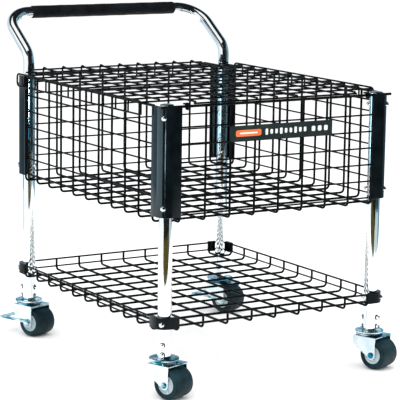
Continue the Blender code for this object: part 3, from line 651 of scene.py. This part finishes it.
def make_handle():
    """The bent handle tube between the rear legs, and the foam grip on its bar."""
    x = (LEG["rear_right"].x - LEG["rear_left"].x) / 2
    y = LEG["rear_left"].y
    bend = RIM_Z + HANDLE_BEND_Z
    foot = LEG_TOP - HANDLE_IN_LEG
    bar_y = y + HANDLE_REACH * math.cos(HANDLE_LEAN)
    bar_z = bend + HANDLE_REACH * math.sin(HANDLE_LEAN)
    right = [(CENTRE.x + x, y, foot), (CENTRE.x + x, y, bend), (CENTRE.x + x, bar_y, bar_z)]
    left = [(CENTRE.x - x, bar_y, bar_z), (CENTRE.x - x, y, bend), (CENTRE.x - x, y, foot)]
    low_bend = bent(right, HANDLE_BEND_R, 12)[:-1]
    corners = bent([right[1], right[2], left[0], left[1]], HANDLE_CORNER_R, 16)[1:-1]
    high_bend = bent(left, HANDLE_BEND_R, 12)[1:]
    bm = bmesh.new()
    add_tube(bm, low_bend + corners + high_bend, HANDLE_R, 48)
    piece("handle_tube", bm, "chrome", "frame", ["push_handle"])

    low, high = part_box("handle_grip")
    half = (high[0] - low[0]) / 2
    grip_r = (high[2] - low[2]) / 2
    bore = HANDLE_R + 0.0001
    edge_r = grip_r - GRIP_EDGE
    edge_z = half - GRIP_EDGE
    outer = [(edge_r + x * GRIP_EDGE, edge_z + y * GRIP_EDGE) for x, y in corner_arc(1, steps=6)]
    levels = stations(-half + 0.012, half - 0.012, 22)
    body = [(grip_r + GRIP_RIPPLE * math.sin(k * 1.9), z) for k, z in enumerate(levels)]
    profile = [(bore, -half)] + [(r, -z) for r, z in reversed(outer)] + body + outer + [(bore, half)]
    place = Matrix.Translation((CENTRE.x, bar_y, bar_z)) @ Matrix.Rotation(math.radians(90), 4, "Y")
    grip = piece("grip_foam", turned(profile, 48), "foam", "frame", ["handle_grip"], place)


def rounded_box(width, height, radius):
    """The outline of a rectangle with round corners."""
    outline = []
    for x, y, start in ((1, 1, 0), (-1, 1, 90), (-1, -1, 180), (1, -1, 270)):
        centre = (x * (width / 2 - radius), y * (height / 2 - radius))
        outline += corner_arc(radius, centre, start, start + 90, 5)
    return outline


def make_name_plate():
    """A dark plate with a plain orange lozenge and pale bars in place of lettering."""
    low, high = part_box("name_plate")
    width = high[0] - low[0]
    height = high[2] - low[2]
    thick = high[1] - low[1]
    place = Matrix.Translation((Vector(low) + Vector(high)) / 2) @ SIDEWAYS
    plate = prism(rounded_box(width, height, PLATE_EDGE), -thick / 2, thick / 2 - 0.0004)
    piece("name_plate_body", plate, "plate", "frame", ["name_plate"], place, bevel=0.0003)

    def printed(name, shapes, material, face):
        """Thin raised shapes, each (x, y, width, height)."""
        parts = [
            (prism(rounded_box(w, h, min(w, h) * 0.3), face, face + PRINT_T), Matrix.Translation((x, y, 0)))
            for x, y, w, h in shapes
        ]
        made = piece(name, merged(*parts), "plate", "frame", matrix=place)
        made.data.materials[0] = material

    face = thick / 2 - 0.0005
    lozenge_x = -width * 0.325
    letters = [(-0.150 + 0.047 * k, 0.024, 0.30 if k % 3 else 0.40) for k in range(9)]
    letters += [(0.310 + 0.062 * k, 0.036, 0.34) for k in range(3)]
    bars = [(width * x, 0, width * wide, height * tall) for x, wide, tall in letters]
    printed("plate_lozenge", [(lozenge_x, 0, width * 0.245, height * 0.42)], ORANGE, face)
    printed("plate_bars", bars, PALE, face)
    printed("plate_stroke", [(lozenge_x, 0, width * 0.17, height * 0.09)], PALE, face + PRINT_T)


def make_caster(corner):
    """A swivel caster, built round its own swivel axis with the wheel trailing towards +X."""
    centre = LEG[corner]
    wheel = middle(corner + "_tyre")
    trail = Vector((wheel.x - centre.x, wheel.y - centre.y, 0)).normalized()
    turn = Matrix((trail, UP.cross(trail), UP)).transposed().to_4x4()
    base = wheel.z - WHEEL_R
    place = Matrix.Translation((centre.x, centre.y, base)) @ turn
    hub_place = place @ Matrix.Translation((TRAIL, 0, WHEEL_R)) @ SIDEWAYS
    head_top = LEG_LOW - GAP - base
    head_low = head_top - HEAD_T
    braked = corner.startswith("rear")
    make_head(corner, place, head_top, head_low)
    make_fork(corner, place, head_low, braked)
    make_wheel(corner, hub_place, wheel.z - FLOOR_Z)
    make_axle_bolt(corner, hub_place, braked)
    if braked:
        make_brake(corner, hub_place)


def make_head(corner, place, top, low):
    """The stem, a plate with a rolled edge, and the king pin's head below it."""
    stem_top = top + 0.03
    hollow = low + 0.0012
    head = [(0, stem_top), (STEM_R, stem_top), (STEM_R, top), (HEAD_R, top)]
    rolled = corner_arc(1, start=90, end=0, steps=4)
    head += [(HEAD_R + x * HEAD_ROLL, top - HEAD_ROLL + y * HEAD_ROLL) for x, y in rolled]
    head += [(HEAD_R + HEAD_ROLL, low), (0.0275, low), (0.0265, hollow), (PIN_R, hollow)]
    pin_low = low - 0.0095
    head += [(PIN_R, low - 0.008), (PIN_HEAD_R, low - 0.0084), (PIN_HEAD_R, pin_low), (0, pin_low)]
    piece(corner + "_head_plate", turned(head, 64), "zinc", "frame", [corner + "_caster_head"], place)


def make_fork(corner, place, head_low, braked):
    """Two cheeks hung from a bridge, the swivel race above it, and a stop strip where there is a brake."""
    body = corner + "_fork_body"
    top = head_low - RACE_GAP
    arch_top = top - CHEEK_T
    nose = corner_arc(NOSE_R, (TRAIL, WHEEL_R), 0, -150, 12)
    back = [(-0.0195, 0.0530), (-0.0215, 0.0580), (-0.0215, 0.0700)]
    cheek = [(-0.019, top), (TRAIL + NOSE_R, top), *nose, *back]
    cheeks = merged(
        (prism(cheek, CHEEK_IN, CHEEK_OUT), SIDEWAYS),
        (prism(cheek, -CHEEK_OUT, -CHEEK_IN), SIDEWAYS),
    )
    piece(corner + "_fork_cheeks", cheeks, "pale_zinc", body, matrix=place, bevel=0.0009)

    bridge_front = -0.018
    bridge_rear = TRAIL + 0.012
    bridge = [(bridge_front, top), (bridge_front, arch_top), (bridge_rear, arch_top), (bridge_rear, top)]
    race_top = head_low - 0.0006
    race_r = 0.0285
    race = [(0.0065, arch_top), (0.0065, race_top), (0.0255, race_top), (race_r, head_low - 0.0022)]
    race += [(race_r, arch_top)]
    parts = [
        (prism(bridge, -CHEEK_IN - 0.001, CHEEK_IN + 0.001), SIDEWAYS),
        (turned(race, 48), AS_BUILT),
    ]
    if braked:
        strip_front = TRAIL + 0.004
        strip_low = arch_top - 0.002
        strip = [(strip_front, arch_top), (strip_front, strip_low), (bridge_rear, strip_low)]
        strip += [(bridge_rear, arch_top)]
        parts.append((prism(strip, -CHEEK_IN, CHEEK_IN), SIDEWAYS))
    piece(corner + "_fork", merged(*parts), "zinc", body, [corner + "_caster_fork"], place, bevel=0.0007)


def make_wheel(corner, place, radius):
    """A crowned tyre with round shoulders, and a dished hub with ribs."""
    body = corner + "_wheel_body"
    edge = TYRE_HALF - SHOULDER_DROP
    tread = [(radius - TYRE_CROWN * (z / edge) ** 2, z) for z in stations(-edge, edge, 12)]
    shoulder = [
        (radius - TYRE_CROWN - SHOULDER_DROP * (1 - math.cos(t)), edge + SHOULDER_WIDE * math.sin(t))
        for t in [math.radians(a) for a in range(18, 91, 12)]
    ]
    side = shoulder + [(TYRE_BORE + 0.0025, TYRE_HALF - 0.0004), (TYRE_BORE, TYRE_HALF - 0.0014)]
    tyre = [(r, -z) for r, z in reversed(side)] + tread + side
    piece(corner + "_tyre_tread", turned(tyre, 64), "tyre", body, [corner + "_tyre"], place)

    half = TYRE_HALF - 0.0015
    dish = half - 0.003
    face = [(0.0045, half), (0.0085, half), (0.0095, dish), (0.0165, dish), (0.0180, half)]
    face += [(TYRE_BORE - 0.0002, half)]
    parts = [(turned(face + [(r, -z) for r, z in reversed(face)], 48), AS_BUILT)]
    rib_half = 0.0012
    bar = [(0.008, -rib_half), (0.0175, -rib_half), (0.0175, rib_half), (0.008, rib_half)]
    for angle in full_turn(HUB_RIBS):
        parts.append((prism(bar, -half + 0.0006, half - 0.0006), Matrix.Rotation(angle, 4, "Z")))
    piece(corner + "_hub", merged(*parts), "hub", body, [corner + "_wheel_hub"], place, bevel=0.0003)


def make_axle_bolt(corner, place, braked):
    """The axle bolt: a domed head, outside the brake's arm where there is one, and a nut on the far side."""
    far = CHEEK_OUT + GAP
    near = CHEEK_OUT + GAP + (0.0025 if braked else 0)
    hexagon = corner_arc(AXLE_HEAD_R, start=0, end=300, steps=5)
    seat = near + 0.001
    button = [(0, near - 0.0005), (AXLE_HEAD_R, near - 0.0005), (AXLE_HEAD_R, seat)]
    button += [(x * AXLE_HEAD_R, seat + y * 0.003) for x, y in corner_arc(1, steps=6)[1:-1]]
    button += [(0, near + 0.004)]
    bolt = merged(
        (prism(hexagon, -far - 0.003, -far), AS_BUILT),
        (turned(button, 40), AS_BUILT),
        (turned(disc(AXLE_R, -far - 0.0035, near), 24), AS_BUILT),
    )
    piece(corner + "_axle_bolt", bolt, "zinc", corner + "_fork_body", [corner + "_axle"], place, bevel=0.0003)


def make_brake(corner, place):
    """A side lever round the axle, and a pedal behind the fork that curls up a little at its free edge."""
    start = CHEEK_OUT + GAP
    eye = corner_arc(0.0095, start=-100, end=100, steps=14)
    arm = eye + [(-0.012, 0.0070), (-0.084, 0.0070), (-0.086, 0.0058), (-0.086, 0.0010), (-0.012, 0.0002)]
    top = [(-0.0850, 0.0059), (-0.0800, 0.0053), (-0.0700, 0.0052), (-0.0672, 0.0058)]
    pedal = top + [(x, y - PEDAL_T) for x, y in reversed(top)]
    lever = merged(
        (prism(arm, start, start + BRAKE_T), AS_BUILT),
        (prism(pedal, -0.031, start + 0.001), AS_BUILT),
    )
    body = corner + "_brake_body"
    piece(corner + "_brake", lever, "zinc", body, [corner + "_brake_lever"], place, bevel=0.0005)


def make_camera():
    """The view from in front and to the left, from a long lens."""
    yaw = math.radians(31.57)
    pitch = math.radians(9.87)
    roll = math.radians(0.86)
    ahead = Vector((math.sin(yaw) * math.cos(pitch), math.cos(yaw) * math.cos(pitch), -math.sin(pitch)))
    right = Vector((math.cos(yaw), -math.sin(yaw), 0))
    up = right.cross(ahead)
    across = right * math.cos(roll) + up * math.sin(roll)
    upward = up * math.cos(roll) - right * math.sin(roll)
    lens = bpy.data.cameras.new("camera")
    lens.lens = 179.05
    lens.sensor_width = 36.0
    lens.clip_end = 100
    camera = placed("camera", lens)
    place = Matrix((across, upward, -ahead)).transposed().to_4x4()
    place.translation = (CENTRE.x - 2.2545, CENTRE.y - 3.6857, FLOOR_Z + 1.0890)
    camera.matrix_world = place
    bpy.context.scene.camera = camera


def hang(name, bm, colour):
    """Turns a bmesh into a shining card that the camera sees only in reflections."""
    mesh = mesh_of(name, bm)
    mesh.materials.append(glow(name, colour, 1.0))
    card = placed(name, mesh)
    card.visible_camera = False
    card.visible_diffuse = False
    card.visible_shadow = False
    card.visible_transmission = False


def make_card(name, start, end, radius, reach, colour, rise=0.0):
    """A curved card round the cart, with its angles in degrees from -Y, clockwise.

    reach is its lower and upper edge over the floor; rise lifts the lower edge towards both ends.
    """
    bm = bmesh.new()
    steps = 24
    previous = None
    for k in range(steps + 1):
        t = k / steps
        angle = math.radians(start + (end - start) * t)
        x = CENTRE.x - radius * math.sin(angle)
        y = CENTRE.y - radius * math.cos(angle)
        foot = reach[0] + 0.002 + rise * (2 * t - 1) ** 4
        pair = [bm.verts.new((x, y, FLOOR_Z + foot)), bm.verts.new((x, y, FLOOR_Z + reach[1]))]
        if previous:
            bm.faces.new([previous[0], pair[0], pair[1], previous[1]])
        previous = pair
    hang(name, bm, colour)


def make_ceiling(name, centre, half, colour):
    """A level card overhead."""
    x, y, z = centre
    bm = bmesh.new()
    corners = [(-1, -1), (1, -1), (1, 1), (-1, 1)]
    bm.faces.new([bm.verts.new((x + a * half[0], y + b * half[1], z)) for a, b in corners])
    hang(name, bm, colour)


def make_light(name, place, size, power):
    """An area light turned towards the cart."""
    lamp = bpy.data.lights.new(name, "AREA")
    lamp.shape = "RECTANGLE"
    lamp.size = size[0]
    lamp.size_y = size[1]
    lamp.energy = power
    light = placed(name, lamp)
    light.location = place
    light.rotation_euler = (CENTRE - Vector(place)).to_track_quat("-Z", "Y").to_euler()


def make_studio():
    """A white room: its floor, the cards that chrome and gloss parts reflect, and the lights."""
    world = bpy.data.worlds.new("studio")
    world.use_nodes = True
    world.node_tree.nodes["Background"].inputs["Color"].default_value = (1, 1, 1, 1)
    world.node_tree.nodes["Background"].inputs["Strength"].default_value = 1.0
    bpy.context.scene.world = world

    bm = bmesh.new()
    bmesh.ops.create_grid(bm, x_segments=1, y_segments=1, size=25)
    mesh = mesh_of("studio_floor", bm)
    paper = bpy.data.materials.new("studio_paper")
    _, shader = node_tree(paper)
    shader.inputs["Base Color"].default_value = (0.96, 0.96, 0.96, 1)
    shader.inputs["Roughness"].default_value = 0.95
    shader.inputs["Specular IOR Level"].default_value = 0.0
    mesh.materials.append(paper)
    floor = placed("studio_floor", mesh)
    floor.location = (0, 0, FLOOR_Z)

    make_card("olive_card", -15.5, 56, 1.45, (0.0, 0.12), (0.085, 0.068, 0.020), rise=0.045)
    make_card("dark_card", -17, 57, 1.66, (0.06, 2.6), (0.012, 0.014, 0.012))
    make_card("streak_card", 40.5, 43, 1.60, (0.275, 0.385), (20.0, 24.0, 26.0))
    make_card("streak_foot_card", 41, 42.5, 1.61, (0.19, 0.28), (0.2, 2.0, 3.2))
    make_card("navy_card", 0, 40, 1.61, (0.24, 0.42), (0.0, 0.07, 0.13))
    make_card("gap_card", 56, 64, 1.61, (0.13, 0.50), (0.012, 0.014, 0.014))
    make_card("left_card", 57, 138, 1.65, (0.0, 1.5), (1.0, 1.0, 1.0))
    make_card("teal_card", 64, 130, 1.60, (0.13, 0.42), (1.25, 2.00, 2.30))
    make_card("dim_teal_card", 126, 170, 1.60, (0.13, 0.42), (0.22, 0.36, 0.46))
    make_card("left_back_card", 138, 188, 1.65, (0.0, 1.5), (0.62, 0.72, 0.79))
    make_card("right_card", -60, -17, 1.65, (0.0, 0.120), (0.50, 0.62, 0.66))
    make_card("right_high_card", -60, -17, 1.66, (0.11, 1.5), (0.02, 0.04, 0.05))
    make_card("right_back_card", -120, -60, 1.65, (0.0, 1.5), (0.16, 0.28, 0.34))
    make_card("back_card", 188, 240, 1.65, (0.0, 1.5), (0.50, 0.70, 0.80))
    near_black = (0.010, 0.012, 0.014)
    make_card("upper_flag", -172, 188, 1.66, (1.5, 2.6), near_black)
    make_ceiling("ceiling_flag", (CENTRE.x, CENTRE.y, 2.62), (1.7, 1.7), near_black)
    make_ceiling("softbox", (CENTRE.x - 0.7, CENTRE.y + 0.3, 2.55), (0.85, 1.0), (1.0, 0.97, 0.95))
    make_light("key", (-2.4, -2.0, 3.2), (2.2, 2.2), 60)
    make_light("fill", (2.8, -1.2, 2.2), (1.6, 2.0), 22)
    make_light("top", (0.0, 0.3, 3.4), (2.4, 2.4), 30)


for corner_name in CORNERS:
    make_leg(corner_name)
    make_bracket(corner_name, "upper")
    make_bracket(corner_name, "lower")
    make_bolts(corner_name)
    make_caster(corner_name)
ring_heights = stations(BASKET_Z + LAST_RING_RISE, RIM_Z - FIRST_RING_DROP, BASKET_RINGS - 1)
make_wire_box("basket", RIM_Z, RIM_R, BASKET_Z - FLOOR_DROP, ring_heights, -1)
make_wire_box("tray", TRAY_RIM_Z, TRAY_RIM_R, TRAY_Z, [TRAY_RIM_Z - TRAY_RING_DROP], -1)
make_lid()
make_handle()
make_name_plate()
make_camera()
make_studio()

bpy.context.scene.view_settings.view_transform = "Standard"
bpy.context.scene.view_settings.exposure = 0.10
